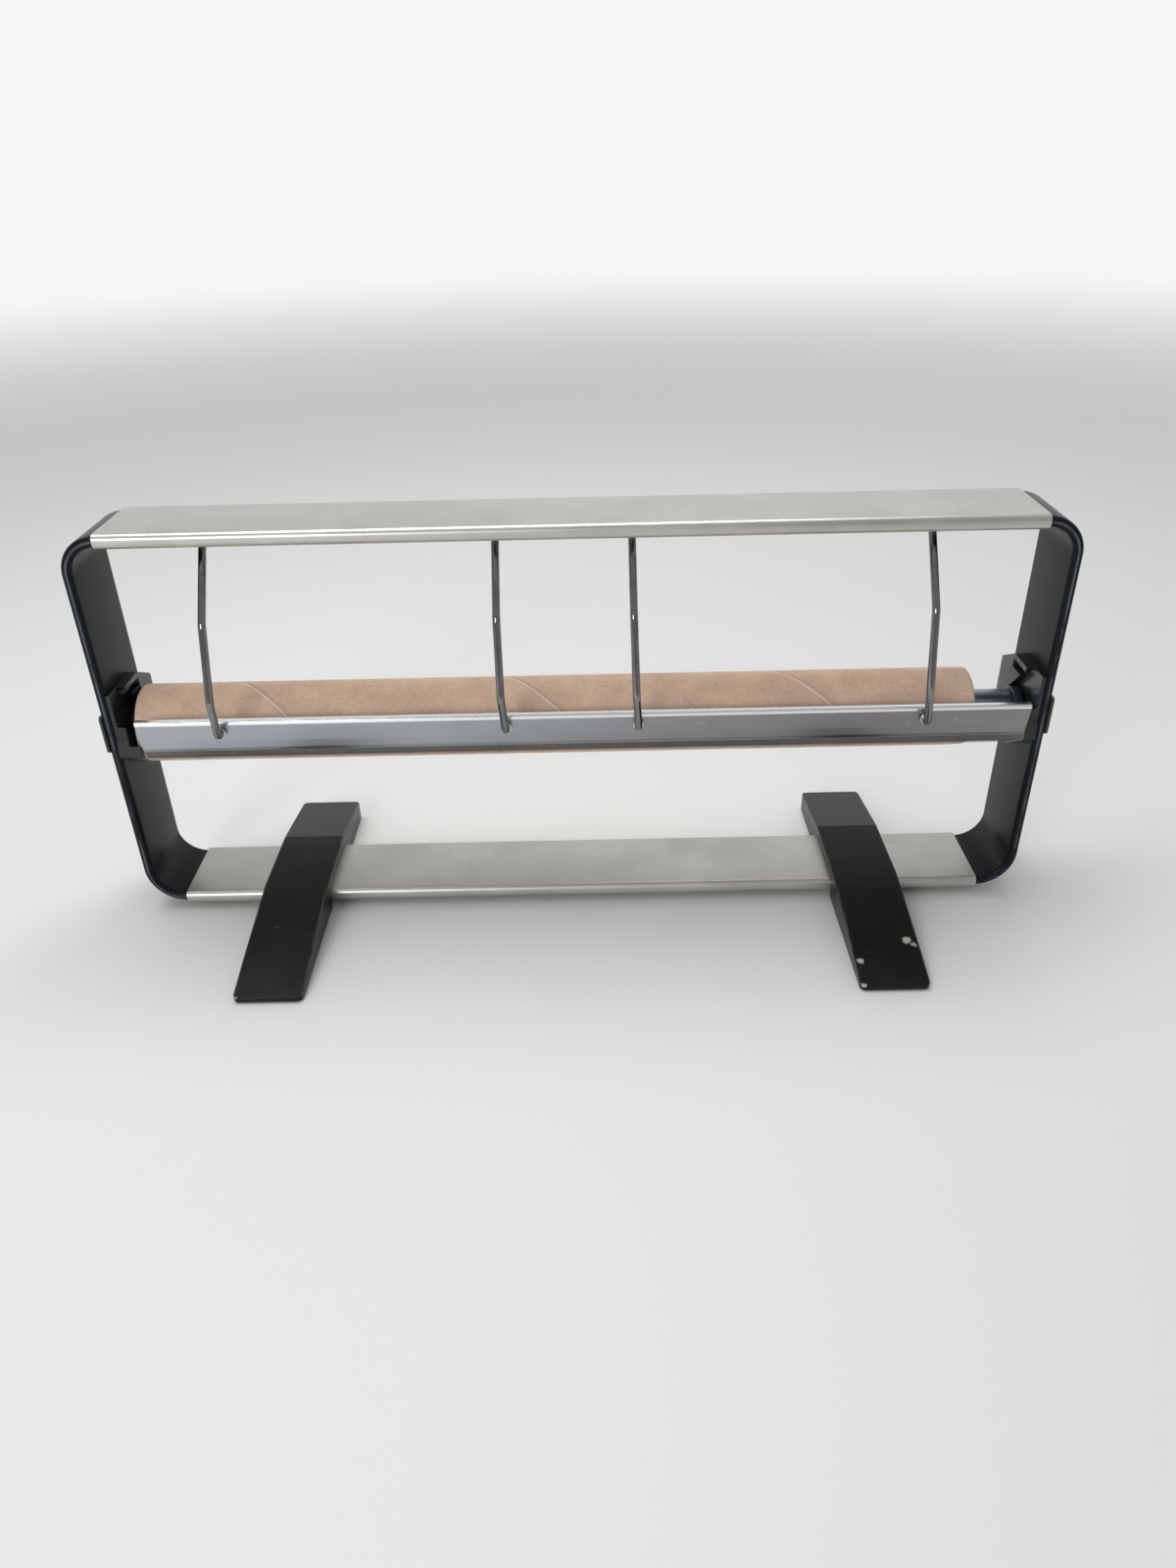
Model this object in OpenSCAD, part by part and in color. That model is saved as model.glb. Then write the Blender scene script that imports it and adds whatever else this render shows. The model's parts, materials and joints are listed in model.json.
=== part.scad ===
// Counter-top gift wrap paper cutter: two rails, two side brackets, two feet, a paper roll core on a
// shaft, and a serrated knife bar that hangs in front of the roll on two U-shaped spring wires.
// Origin: on the counter, under the middle of the feet. X runs along the rails, -Y faces the user.

/* [Frame] */
// room beside the paper core, from its half length to the outside of a bracket
side_room = 29; // [26:1:60]
// height of the top rail's upper face over the counter
frame_h = 250; // [230:1:320]
// height of the bottom rail's upper face over the counter
low_rail_top = 13.3; // [12.5:0.1:20]
// distance of the rails behind the middle of the feet
rail_y = 18.5; // [10:0.5:30]
// depth of both rails, front to back
rail_d = 55.4; // [50:0.1:70]
// wall thickness of the rail profile
rail_wall = 1.5; // [1.2:0.1:2]
// thickness of the hooks under the rail profile
rail_hook_t = 1.1; // [1:0.1:1.5]
// width of each hook under the rail profile
rail_hook_w = 4; // [3:0.5:6]
// outer edge radius of the rail profile
rail_r = 3.6; // [2.5:0.1:4]

/* [Side brackets] */
// play of the flat bar in the rails, front and back
bar_gap = 0.2; // [0.1:0.1:0.5]
// thickness of the flat bar
bar_t = 6; // [5:0.5:8]
// rounding of the flat bar's long edges
bar_edge_r = 1.5; // [0.5:0.1:2]
// outer bend radius at the top
bend_top = 22; // [18:0.5:26]
// outer bend radius at the bottom
bend_low = 24; // [18:0.5:26]
// length of each bracket leg inside its rail
leg_in = 43; // [36:1:60]

/* [Feet] */
// overall length of a foot, front to back
foot_l = 200; // [180:1:260]
// width of a foot
foot_w = 40.5; // [34:0.5:60]
// distance of each foot's middle from the end of the bottom rail
foot_in = 73.4; // [68:0.1:95]
// thickness of the foot over the bottom rail
foot_cover = 7.4; // [6:0.1:10]
// height of the foot's front tip
foot_tip = 4; // [4:0.1:6]
// height of the foot's rear end
foot_heel = 13.2; // [11:0.1:18]
// how far the rubber pads stand out under the feet
pad_out = 0.8; // [0.5:0.1:1.5]

/* [Roll] */
// length of the cardboard core, which is the width of the paper
core_l = 500; // [360:1:700]
// height of the roll axis over the counter
roll_z = 123; // [112:1:150]
// distance of the roll axis behind the middle of the rails
roll_back = 1; // [0:0.5:4]
// distance of the core's middle to the left of the centre
core_left = 13; // [0:0.5:13]
// outer radius of the cardboard core
core_r = 23.75; // [18:0.05:30]
// wall thickness of the cardboard core
core_wall = 2.5; // [1.5:0.1:4]
// outer radius of the shaft tube
shaft_r = 10; // [8:0.1:12]
// wall thickness of the shaft tube
shaft_wall = 1.6; // [1:0.1:2]
// length of each plug inside the core
plug_l = 25; // [15:1:40]

/* [Knife] */
// free space between the knife bar's left end and the holder
knife_gap_left = 8.8; // [7.5:0.1:12]
// free space between the knife bar's right end and the holder
knife_gap_right = 1.2; // [1:0.1:8]
// distance from the core to the lower edge of the knife bar
knife_gap = 5.25; // [4.5:0.05:12]
// pitch of the blade's teeth
tooth_pitch = 3; // [2:0.1:6]
// depth of the blade's teeth
tooth_h = 1.5; // [0.5:0.1:2]
// radius of the spring wire
wire_r = 2.25; // [1.8:0.05:2.6]
// distance of the left wire's outer arm from the end of the top rail
arm_in_left = 49.5; // [46:0.5:60]
// distance of the right wire's outer arm from the end of the top rail
arm_in_right = 53.5; // [46:0.5:60]
// distance between the inner arms of the two wires
arm_middle = 77; // [40:1:120]
// height of the wires' swing axis under the top of the frame
wire_drop = 4.7; // [4.5:0.1:5]

/* [Choice] */
// which piece to draw

/* [Hidden] */
$fn = 96;
nil = 0.02;
frame_w = core_l + 2 * side_room;
half_w = frame_w / 2;
top_rail_l = frame_w - 2 * bend_top;
low_rail_l = frame_w - 2 * bend_low;
bar_d = rail_d - 2 * rail_wall - 2 * bar_gap;
foot_x = low_rail_l / 2 - foot_in;
inner_w = half_w - bar_t;
holder_t = 7;
holder_in = inner_w - holder_t;
rail_h = rail_wall + bar_t + rail_hook_t;
slot_half = rail_d / 2 - rail_wall - rail_hook_w;
cavity_half = rail_d / 2 - rail_wall;
bar_top = frame_h - rail_wall;
bar_low = low_rail_top - rail_wall - bar_t;
top_leg_x = top_rail_l / 2 - leg_in;
low_leg_x = low_rail_l / 2 - leg_in;
wire_z = frame_h - wire_drop;
roll_y = rail_y + roll_back;
core_x = -core_left;
core_in = core_r - core_wall;
foot_front = -foot_l / 2;
foot_rear = foot_l / 2;
foot_top = low_rail_top + foot_cover;
// running fits, radial
run_gap = 0.08;
// loose holes for screws, radial
screw_gap = 0.3;
screw_r = 2;
set_r = 2.5;
// length of the knife bar and its middle
knife_l = 2 * holder_in - knife_gap_left - knife_gap_right;
knife_x = (knife_gap_left - knife_gap_right) / 2;
// distance between the two arms of one wire, and the middles of the wires
wire_span = (top_rail_l - arm_in_left - arm_in_right - arm_middle) / 2;
left_wire_x = arm_in_left - top_rail_l / 2 + wire_span / 2;
right_wire_x = top_rail_l / 2 - arm_in_right - wire_span / 2;
// lower edge of the knife bar's face, as depth from the rail middle and height
crease = [roll_back - core_r - knife_gap, roll_z - 5];
blade_t = 0.8;
blade_out = 6;
blade_in = 3.5;
lip_t = 0.9;
seat_t = 2.6;
seat_l = 4.6;
// arms: points of the wire's centre line, as depth and height
arm_kink = [crease[0] - 7.5, frame_h - 49];
arm_bend = [crease[0] - 17.5, roll_z + 33];
arm_foot = [crease[0] - 10, roll_z + 9.5];
stub_end = crease[0] + 1;
knob_r = 3.3;
knob_l = 1.6;
knob_rear = crease[0] - 5;
clip_front = crease[0] - 0.9;
clip_r = 4.6;
clip_l = 1.6;
wire_bend_r = 7;
kink_r = 9;
stub_bend_r = 4;
// how far a straight reaches into a bend, and how much thicker the wire is in its bends
bend_in = 0.1;
bend_swell = 0.03;
// holders
hub_lip = 1.5;
hub_r = shaft_r + hub_lip;
// front edge of the holders, in front of the core
holder_front = roll_back - core_r - 3.25;
hub_slot_r = hub_r + run_gap;
slot_trim = 0.02;
pocket = 4.6;
hub_face = holder_in - 1.6;
hub_end = holder_in + pocket - 0.5;
shaft_end = hub_face - 0.4;
pin_in = 18;
keeper_t = 2.8;
horn_in = 6.5;
plate_t = 1.6;

// ---- helpers ----

// a profile drawn as (depth, height), run along X from x0 over length l
module along_x(x0, l) {
  translate([x0, rail_y, 0])
    rotate([90, 0, 90])
      linear_extrude(l)
        children();
}

// a round bar along X
module x_rod(x0, l, y, z, r) {
  translate([x0, y, z])
    rotate([0, 90, 0])
      cylinder(h = l, r = r);
}

// a rectangle with rounded corners, from corner a to corner b
module soft_rect(a, b, r) {
  translate([a[0] + r, a[1]])
    square([b[0] - a[0] - 2 * r, b[1] - a[1]]);
  translate([a[0], a[1] + r])
    square([b[0] - a[0], b[1] - a[1] - 2 * r]);
  for (x = [a[0] + r, b[0] - r])
    for (y = [a[1] + r, b[1] - r])
      translate([x, y])
        circle(r);
}

// the same piece on the left (side -1) or on the right (side 1)
module on_side(side) {
  if (side > 0)
    children();
  else
    mirror([1, 0, 0])
      children();
}

// ---- frame ----

module rail(l, top) {
  half = rail_d / 2;
  along_x(-l / 2, l)
    difference() {
      soft_rect([-half, top - rail_h], [half, top], rail_r);
      soft_rect([-cavity_half, top - rail_wall - bar_t], [cavity_half, top - rail_wall], bar_edge_r);
      translate([-slot_half, top - rail_h - 1])
        square([2 * slot_half, rail_hook_t + 2]);
    }
}

module top_rail() {
  color([0.75, 0.75, 0.73])
    rail(top_rail_l, frame_h);
}

module bottom_rail() {
  color([0.75, 0.75, 0.73])
    difference() {
      rail(low_rail_l, low_rail_top);
      for (side = [-1, 1])
        foot_holes(side, screw_r + screw_gap);
    }
}

// section of the flat bar with its thickness along the first direction
module bar_section() {
  soft_rect([0, -bar_d / 2], [bar_t, bar_d / 2], bar_edge_r);
}

// quarter bend about an axis along Y; the flat bar leaves it upwards and outwards
module bend(r) {
  rotate([90, 0, 0])
    rotate_extrude(angle = 90)
      translate([r - bar_t, 0])
        bar_section();
}

module bracket(side) {
  z0 = bar_low + bend_low;
  z1 = bar_top - bend_top;
  difference() {
    on_side(side)
      translate([0, rail_y, 0]) {
        translate([inner_w, 0, z0])
          linear_extrude(z1 - z0)
            bar_section();
        translate([half_w - bend_top, 0, z1])
          bend(bend_top);
        translate([half_w - bend_low, 0, z0])
          mirror([0, 0, 1])
            bend(bend_low);
        translate([top_leg_x, 0, bar_top - bar_t])
          rotate([90, 0, 90])
            linear_extrude(half_w - bend_top - top_leg_x)
              leg_section();
        translate([low_leg_x, 0, bar_low])
          rotate([90, 0, 90])
            linear_extrude(half_w - bend_low - low_leg_x)
              leg_section();
      }
    leg_screw_holes(side, top_leg_x, bar_top - bar_t);
    leg_screw_holes(side, low_leg_x, bar_low);
    holder_screw_holes(side, screw_r + screw_gap);
  }
}

module leg_section() {
  soft_rect([-bar_d / 2, 0], [bar_d / 2, bar_t], bar_edge_r);
}

module left_bracket() {
  color([0.1, 0.1, 0.11])
    bracket(-1);
}

module right_bracket() {
  color([0.1, 0.1, 0.11])
    bracket(1);
}

leg_screw_y = 13;

// places of the two set screws in a bracket leg
module at_leg_screws(side, leg_x, z) {
  for (y = [-leg_screw_y, leg_screw_y])
    translate([side * (leg_x + leg_in / 2), rail_y + y, z])
      children();
}

module leg_screw_holes(side, leg_x, z) {
  at_leg_screws(side, leg_x, z - 1)
    cylinder(h = bar_t + 2, r = set_r);
}

socket_depth = 2;
// corner radius of a hexagon socket, as a share of its screw's radius
socket_share = 0.56;

// set screw of height h with a hexagon socket at its lower end
module set_screw(h, r) {
  difference() {
    cylinder(h = h, r = r);
    translate([0, 0, -1])
      cylinder(h = socket_depth + 1, r = r * socket_share, $fn = 6);
  }
}

module top_set_screws() {
  color([0.25, 0.25, 0.27])
    for (side = [-1, 1])
      at_leg_screws(side, top_leg_x, bar_top - bar_t)
        set_screw(bar_t, set_r);
}

module bottom_set_screws() {
  color([0.25, 0.25, 0.27])
    for (side = [-1, 1])
      at_leg_screws(side, low_leg_x, bar_low)
        set_screw(bar_t, set_r);
}

// ---- feet ----

foot_gap = 0.3;
foot_corner_r = 3.5;
clamp_t = 3;
clamp_w = 34;
clamp_gap = 2;
foot_screw_y = 15;
foot_screw_depth = 5;
foot_head_r = 3.8;
head_h = 2.4;
pad_r = 5.2;
// how deep a pad sits in its foot, and its play there
pad_seat = 1.2;
pad_gap = 0.3;
// distances of the pads from a foot's front end, rear end and middle
pad_front = 14;
pad_rear = 12;
pad_side = 10;
// creases of a foot in front of the rail, as depth from the rail middle and height
front_creases = [[-92, foot_tip + 5.5], [-65, foot_tip + 10.2], [-48, foot_top - 3.6]];
// upper outline of a foot
foot_line = concat([[foot_front - rail_y, foot_tip]], front_creases,
  [[-31, foot_top - 0.5], [25, foot_top], [foot_rear - rail_y, foot_heel]]);
// thickness of a foot's skin, and of the solid middle that sits on the rail
skin = 3;
saddle_half = rail_d / 2 + 8.3;

module foot_profile() {
  polygon(concat([[foot_front - rail_y, pad_out]], foot_line, [[foot_rear - rail_y, pad_out]]));
}

// hollow in front of and behind the rail, under the skin
module foot_hollow_profile() {
  polygon(concat([[front_creases[0][0], pad_out - 1]], [for (p = front_creases) p - [0, skin]],
    [[-saddle_half, foot_top - 1.6 - skin], [-saddle_half, pad_out - 1]]));
  polygon([[saddle_half, pad_out - 1], [saddle_half, foot_top - 1.5 - skin],
    [saddle_half + 22, foot_top - 4.5 - skin], [saddle_half + 22, pad_out - 1]]);
}

module foot_holes(side, r) {
  for (y = [-foot_screw_y, foot_screw_y])
    translate([side * foot_x, rail_y + y, low_rail_top - rail_wall - clamp_t - 1])
      cylinder(h = rail_wall + clamp_t + 1 + nil, r = r);
}

module at_pads(side) {
  for (y = [foot_front + pad_front, foot_rear - pad_rear])
    for (x = [-pad_side, pad_side])
      translate([side * foot_x + x, y, 0])
        children();
}

module foot(side) {
  difference() {
    intersection() {
      along_x(side * foot_x - foot_w / 2, foot_w)
        foot_profile();
      linear_extrude(frame_h)
        soft_rect([side * foot_x - foot_w / 2, foot_front], [side * foot_x + foot_w / 2, foot_rear],
          foot_corner_r);
    }
    along_x(side * foot_x - foot_w / 2 + skin, foot_w - 2 * skin)
      foot_hollow_profile();
    along_x(side * foot_x - foot_w / 2 - 1, foot_w + 2)
      soft_rect([-rail_d / 2 - foot_gap, -2 * rail_r], [rail_d / 2 + foot_gap, low_rail_top], rail_r);
    for (y = [-foot_screw_y, foot_screw_y])
      translate([side * foot_x, rail_y + y, low_rail_top - 1])
        cylinder(h = foot_screw_depth + 1, r = screw_r);
    at_pads(side)
      cylinder(h = pad_out + pad_seat, r = pad_r + pad_gap);
  }
}

module left_foot() {
  color([0.07, 0.07, 0.08])
    foot(-1);
}

module right_foot() {
  color([0.07, 0.07, 0.08])
    foot(1);
}

module foot_clamp(side) {
  difference() {
    translate([side * foot_x - clamp_w / 2, rail_y - cavity_half + clamp_gap,
      low_rail_top - rail_wall - clamp_t])
      cube([clamp_w, 2 * (cavity_half - clamp_gap), clamp_t]);
    foot_holes(side, screw_r + screw_gap);
  }
}

module left_foot_clamp() {
  color([0.6, 0.6, 0.62])
    foot_clamp(-1);
}

module right_foot_clamp() {
  color([0.6, 0.6, 0.62])
    foot_clamp(1);
}

cross_w = 0.8;
cross_depth = 0.9;

// pan head screw pointing up, its head's seat at z = 0
module pan_screw(l, r, head_r) {
  difference() {
    union() {
      translate([0, 0, -head_h])
        cylinder(h = head_h, r = head_r);
      translate([0, 0, -nil])
        cylinder(h = l + nil, r = r);
    }
    for (turn = [0, 90])
      rotate([0, 0, turn])
        translate([-head_r * 0.6, -cross_w / 2, -head_h - 1])
          cube([head_r * 1.2, cross_w, cross_depth + 1]);
  }
}

module foot_screws(side) {
  seat = low_rail_top - rail_wall - clamp_t;
  for (y = [-foot_screw_y, foot_screw_y])
    translate([side * foot_x, rail_y + y, seat])
      pan_screw(clamp_t + rail_wall + foot_screw_depth - 0.5, screw_r, foot_head_r);
}

module left_foot_screws() {
  color([0.7, 0.7, 0.72])
    foot_screws(-1);
}

module right_foot_screws() {
  color([0.7, 0.7, 0.72])
    foot_screws(1);
}

module foot_pads(side) {
  at_pads(side)
    cylinder(h = pad_out + pad_seat, r = pad_r);
}

module left_foot_pads() {
  color([0.2, 0.2, 0.2])
    foot_pads(-1);
}

module right_foot_pads() {
  color([0.2, 0.2, 0.2])
    foot_pads(1);
}

// ---- wire bearings in the top rail ----

block_w = 12;
anchor_w = 22;
// distance of a bearing block's middle from its arm
block_in = 16;
// play of a block in the rail's cavity and between its hooks, front and back
block_gap = 1.6;
block_slot_gap = 0.4;
block_screw_y = 12;
// lower face of the blocks, level with the rail's hooks
block_low = frame_h - rail_h;

module wire_block(x, w) {
  difference() {
    union() {
      translate([x - w / 2, rail_y - cavity_half + block_gap, bar_top - bar_t])
        cube([w, 2 * (cavity_half - block_gap), bar_t]);
      translate([x - w / 2, rail_y - slot_half + block_slot_gap, block_low])
        cube([w, 2 * (slot_half - block_slot_gap), bar_t]);
    }
    x_rod(x - w / 2 - 1, w + 2, rail_y, wire_z, wire_r + run_gap);
    translate([x, rail_y + block_screw_y, block_low - 1])
      cylinder(h = bar_t + rail_hook_t + 2, r = screw_r);
  }
}

module left_outer_block() {
  color([0.85, 0.84, 0.8])
    wire_block(left_wire_x - wire_span / 2 + block_in, block_w);
}

module left_inner_block() {
  color([0.85, 0.84, 0.8])
    wire_block(left_wire_x + wire_span / 2 - block_in, block_w);
}

module left_anchor() {
  color([0.6, 0.6, 0.62])
    wire_block(left_wire_x, anchor_w);
}

module right_outer_block() {
  color([0.85, 0.84, 0.8])
    wire_block(right_wire_x + wire_span / 2 - block_in, block_w);
}

module right_inner_block() {
  color([0.85, 0.84, 0.8])
    wire_block(right_wire_x - wire_span / 2 + block_in, block_w);
}

module right_anchor() {
  color([0.6, 0.6, 0.62])
    wire_block(right_wire_x, anchor_w);
}

module block_screws(wire_x) {
  for (x = [block_in - wire_span / 2, 0, wire_span / 2 - block_in])
    translate([wire_x + x, rail_y + block_screw_y, block_low])
      set_screw(bar_t + rail_hook_t, screw_r);
}

module left_block_screws() {
  color([0.25, 0.25, 0.27])
    block_screws(left_wire_x);
}

module right_block_screws() {
  color([0.25, 0.25, 0.27])
    block_screws(right_wire_x);
}

// ---- spring wires ----

// corners of one arm in depth and height, from the cross piece down to the end of the stub behind
// the knife bar, with the bend radius at each
arm_corners = [[0, wire_z], arm_kink, arm_bend, arm_foot + [-0.6, 0], [stub_end, arm_foot[1]]];
arm_radii = [wire_bend_r, kink_r, kink_r, stub_bend_r];
last = len(arm_corners) - 1;
function way(i) = (arm_corners[i + 1] - arm_corners[i]) / norm(arm_corners[i + 1] - arm_corners[i]);
function turn(i) = atan2(cross(way(i - 1), way(i)), way(i - 1) * way(i));
function heading(v) = atan2(v[1], v[0]);
// distance from a corner to the ends of its bend
function setback(i) = i == 0 ? arm_radii[0] : i == last ? 0 : arm_radii[i] * tan(abs(turn(i)) / 2);

// a bend of the wire about Z, from the X axis on
module wire_bend(r, angle) {
  rotate_extrude(angle = angle)
    translate([r, 0])
      circle(wire_r + bend_swell);
}

// bend at corner i, in the arm's plane
module arm_bend_at(i) {
  u = way(i - 1);
  side = sign(turn(i));
  centre = arm_corners[i] - setback(i) * u + side * arm_radii[i] * [-u[1], u[0]];
  translate(centre)
    rotate(side > 0 ? heading(u) - 90 : heading(way(i)) + 90)
      wire_bend(arm_radii[i], abs(turn(i)));
}

// straight piece after corner i, a little longer at both ends to meet the bends
module arm_straight(i) {
  l = norm(arm_corners[i + 1] - arm_corners[i]) - setback(i) - setback(i + 1);
  translate(arm_corners[i] + (setback(i) - bend_in) * way(i))
    rotate([0, 90, heading(way(i))])
      cylinder(h = l + 2 * bend_in, r = wire_r);
}

// one arm at x; inward is the direction of the cross piece
module arm(x, inward) {
  translate([x, rail_y, 0]) {
    rotate([90, 0, 90]) {
      for (i = [0 : last - 1])
        arm_straight(i);
      for (i = [1 : last - 1])
        arm_bend_at(i);
    }
    translate([0, 0, wire_z])
      rotate([heading(way(0)), 0, 0])
        translate([inward * wire_bend_r, wire_bend_r])
          rotate(inward > 0 ? 180 : 270)
            wire_bend(wire_bend_r, 90);
  }
}

module wire(wire_x) {
  l = wire_span - 2 * wire_bend_r + 2 * bend_in;
  x_rod(wire_x - l / 2, l, rail_y, wire_z, wire_r);
  arm(wire_x - wire_span / 2, 1);
  arm(wire_x + wire_span / 2, -1);
}

module left_wire() {
  color([0.8, 0.81, 0.83])
    wire(left_wire_x);
}

module right_wire() {
  color([0.8, 0.81, 0.83])
    wire(right_wire_x);
}

module at_arm_ends(wire_x) {
  for (x = [-wire_span / 2, wire_span / 2])
    translate([wire_x + x, rail_y, arm_foot[1]])
      rotate([-90, 0, 0])
        children();
}

// round collars pressed on the arm ends, in front of the knife bar
module knobs(wire_x) {
  at_arm_ends(wire_x)
    translate([0, 0, knob_rear - knob_l])
      difference() {
        cylinder(h = knob_l, r = knob_r);
        translate([0, 0, -1])
          cylinder(h = knob_l + 2, r = wire_r);
      }
}

module left_knobs() {
  color([0.85, 0.85, 0.87])
    knobs(left_wire_x);
}

module right_knobs() {
  color([0.85, 0.85, 0.87])
    knobs(right_wire_x);
}

// push-on clips on the wire ends, behind the knife bar's face
module wire_clips(wire_x) {
  at_arm_ends(wire_x)
    translate([0, 0, clip_front])
      difference() {
        cylinder(h = clip_l, r = clip_r);
        translate([0, 0, -1])
          cylinder(h = clip_l + 2, r = wire_r);
      }
}

module left_wire_clips() {
  color([0.5, 0.5, 0.52])
    wire_clips(left_wire_x);
}

module right_wire_clips() {
  color([0.5, 0.5, 0.52])
    wire_clips(right_wire_x);
}

// ---- knife ----

// point of the knife's section, a down along the blade and b behind the front of the bar's foot
function at_blade(a, b) = crease + [b, -a];

// section of the knife bar, with its face curving up from the crease
module knife_profile() {
  rear = [for (p = [[-4.9, 21], [-4.2, 21.8], [-1, 21.8], [-1, 20.2], [-2.9, 20.2], [-3, 19.2],
    [-2, 13.7], [-0.9, 8]]) crease + p];
  front = [for (p = [[0, 0], [-1.5, 2.6], [-2.9, 8], [-4, 13.7], [-5, 19.2]]) crease + p];
  difference() {
    polygon(concat(rear, [at_blade(-seat_l, seat_t), at_blade(0, seat_t)], front));
    polygon([at_blade(-blade_in, lip_t), at_blade(1, lip_t), at_blade(1, lip_t + blade_t),
      at_blade(-blade_in, lip_t + blade_t)]);
  }
}

module knife_bar() {
  color([0.68, 0.69, 0.7])
    difference() {
      along_x(knife_x - knife_l / 2, knife_l)
        knife_profile();
      for (wire_x = [left_wire_x, right_wire_x])
        for (x = [-wire_span / 2, wire_span / 2])
          translate([wire_x + x, rail_y + knob_rear - knob_l, arm_foot[1]])
            rotate([-90, 0, 0])
              cylinder(h = 3 * knob_r, r = wire_r + screw_gap);
    }
}

// the blade is drawn flat, then turned into the knife bar's groove
module serrated_blade() {
  teeth = floor(knife_l / tooth_pitch);
  pitch = knife_l / teeth;
  edge = [for (i = [0 : teeth - 1]) each [[blade_out, i * pitch], [blade_out - tooth_h, (i + 0.5) * pitch]]];
  color([0.55, 0.56, 0.58])
    translate([knife_x - knife_l / 2, rail_y + crease[0], crease[1]])
      rotate([-90, 0, 0])
        translate([0, 0, lip_t])
          rotate([0, 0, 90])
            mirror([0, 1, 0])
              linear_extrude(blade_t)
                polygon(concat([[-blade_in, 0]], edge, [[blade_out, knife_l], [-blade_in, knife_l]]));
}

// ---- holders ----

// heights over the roll axis: a holder's underside, the end of its rear edge and its top
holder_low = -24;
holder_shoulder = 22;
holder_top = 31;
// the rear end of the top, and of the gap under the upper tip
top_rear = 8;
tip_rear = 7.3;
// heights over the roll axis of the gap under the upper tip
tip_gap_low = 22.7;
tip_gap_high = 27.7;
// front end of the keeper that closes the top of the hub's slot
keeper_front = holder_front + 14;
// outline of the block at a holder's front, as depth from the rail middle and height over the axis
horn_outline = [for (p = [[-1.4, -1.5], [-2, -9], [3.1, -12.3]]) [holder_front + p[0], p[1]]];

// outline of a holder
module holder_outline() {
  translate([0, roll_z])
    polygon(concat([[-5, holder_low], [bar_d / 2 - 0.4, holder_low], [bar_d / 2 - 0.4, holder_shoulder],
      [top_rear, holder_top], [holder_front, holder_top], [holder_front, 4]], horn_outline));
}

// slot that leads the hub down from the front at 45 degrees, open at the top front
module hub_slot_shape() {
  translate([roll_back, roll_z]) {
    circle(hub_slot_r);
    rotate(135)
      translate([0, slot_trim - hub_slot_r])
        square([60, 2 * (hub_slot_r - slot_trim)]);
  }
}

module holder(side) {
  on_side(side)
    difference() {
      union() {
        along_x(holder_in, holder_t)
          holder_outline();
        if (side < 0)
          along_x(holder_in - horn_in, horn_in + 1)
            translate([0, roll_z])
              polygon(concat(horn_outline, [[holder_front + 0.4, -3]]));
      }
      difference() {
        along_x(holder_in - 1, pocket + 1)
          union() {
            hub_slot_shape();
            translate([holder_front - 1, roll_z + tip_gap_low])
              square([tip_rear - holder_front + 1, tip_gap_high - tip_gap_low]);
          }
        along_x(holder_in - 1, keeper_t + 1)
          translate([keeper_front, roll_z + tip_gap_high])
            square([top_rear - keeper_front + 10, 10]);
      }
      at_holder_screws(side = 1)
        cylinder(h = plate_t + bar_t + screw_in + screw_gap, r = screw_r);
    }
}

holder_head_r = 3.6;
// how deep a screw reaches into a holder
screw_in = 5;
// places of a holder's screws behind the rail middle and over the roll axis
holder_screw_y = 19;
holder_screw_z = [-2.5, 12.5];

// places of the two screws of a holder, pointing inwards, z = 0 at the seat of the head
module at_holder_screws(side) {
  for (z = holder_screw_z)
    translate([side * (half_w + plate_t), rail_y + holder_screw_y, roll_z + z])
      rotate([0, -side * 90, 0])
        children();
}

module holder_screw_holes(side, r) {
  at_holder_screws(side)
    translate([0, 0, -1])
      cylinder(h = plate_t + bar_t + 2, r = r);
}

module left_holder() {
  color([0.05, 0.05, 0.06])
    holder(-1);
}

module right_holder() {
  color([0.05, 0.05, 0.06])
    holder(1);
}

// how far a backing plate stays inside the bar's edges, and its rim beyond the screws
plate_in = 0.2;
plate_rim = 4.5;

module backing_plate(side) {
  difference() {
    on_side(side)
      along_x(half_w, plate_t)
        soft_rect([plate_in - bar_d / 2, roll_z + holder_screw_z[0] - plate_rim],
          [bar_d / 2 - plate_in, roll_z + holder_screw_z[1] + plate_rim], 2);
    holder_screw_holes(side, screw_r);
  }
}

module left_backing_plate() {
  color([0.12, 0.12, 0.1])
    backing_plate(-1);
}

module right_backing_plate() {
  color([0.12, 0.12, 0.1])
    backing_plate(1);
}

module holder_screws(side) {
  at_holder_screws(side)
    pan_screw(plate_t + bar_t + screw_in, screw_r, holder_head_r);
}

module left_holder_screws() {
  color([0.3, 0.3, 0.32])
    holder_screws(-1);
}

module right_holder_screws() {
  color([0.3, 0.3, 0.32])
    holder_screws(1);
}

// ---- roll ----

module hub(side) {
  on_side(side) {
    x_rod(hub_face, hub_end - hub_face, roll_y, roll_z, hub_r);
    x_rod(shaft_end - pin_in, hub_face - shaft_end + pin_in + nil, roll_y, roll_z,
      shaft_r - shaft_wall - run_gap);
  }
}

module left_hub() {
  color([0.15, 0.16, 0.19])
    hub(-1);
}

module right_hub() {
  color([0.15, 0.16, 0.19])
    hub(1);
}

module shaft_tube() {
  color([0.5, 0.56, 0.62])
    difference() {
      x_rod(-shaft_end, 2 * shaft_end, roll_y, roll_z, shaft_r);
      x_rod(-shaft_end - 1, 2 * shaft_end + 2, roll_y, roll_z, shaft_r - shaft_wall);
    }
}

module core_plug(x) {
  difference() {
    x_rod(x, plug_l, roll_y, roll_z, core_in - nil);
    x_rod(x - 1, plug_l + 2, roll_y, roll_z, shaft_r + run_gap);
  }
}

// how far a plug lies inside the core's end
plug_in = 1;

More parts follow.
